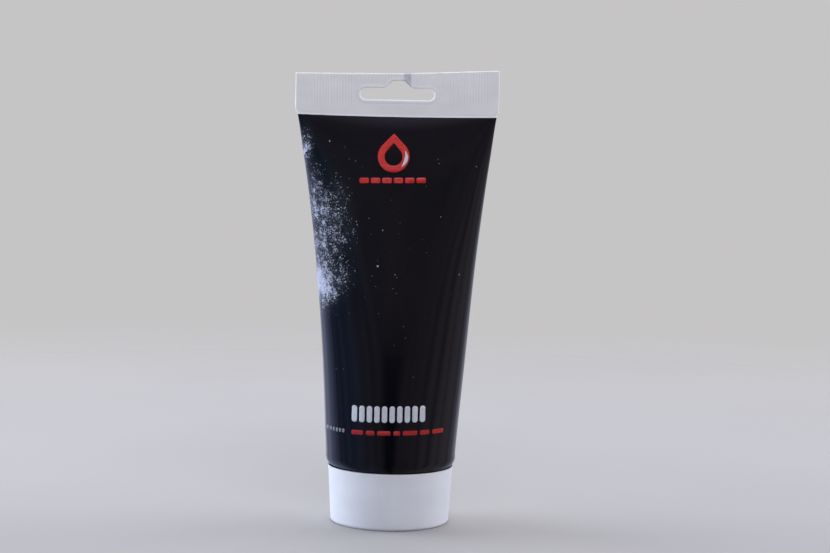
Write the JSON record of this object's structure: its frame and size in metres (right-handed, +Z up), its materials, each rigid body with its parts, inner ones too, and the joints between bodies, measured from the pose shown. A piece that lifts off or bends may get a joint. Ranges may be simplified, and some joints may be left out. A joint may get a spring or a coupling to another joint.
{
  "type": "liquid chalk squeeze tube",
  "caption": "Plastic squeeze tube of liquid grip chalk with a flattened, crimped end and hang slot, standing on its white screw cap.",
  "frame": {"origin": "centre of the cap's standing ring, on the surface that the tube stands on", "axes": "+Z up the tube from the cap to the crimped end, +X along the flattened end and to the right seen from the printed front, -Y out of the printed front"},
  "size_m": [0.0786, 0.05, 0.1733],
  "materials": {
    "sleeve_film": "gloss varnish over black print, unprinted white at the crimp",
    "head_plastic": "satin",
    "cap_plastic": "satin",
    "liner_foam": "matt foam",
    "chalk": "wet, opaque white"
  },
  "bodies": {
    "cap": {"screw_cap": "cap_plastic"},
    "liner": {"cap_liner": "liner_foam"},
    "tube": {"tube_sleeve": "sleeve_film", "tube_head": "head_plastic", "liquid_chalk": "chalk"}
  },
  "joints": [
    {"name": "tube_turn", "type": "hinge", "parent": "cap", "child": "liner", "pos_m": [0, 0, 0.003], "axis": [0, 0, 1], "range_deg": [0, 1800]},
    {"name": "tube_lift", "type": "slide", "parent": "liner", "child": "tube", "axis": [0, 0, 1], "range_m": [0, 0.01501]}
  ],
  "couplings": [
    {"joint": "tube_lift", "follows": "tube_turn", "m_per_rad": 0.00047746}
  ]
}
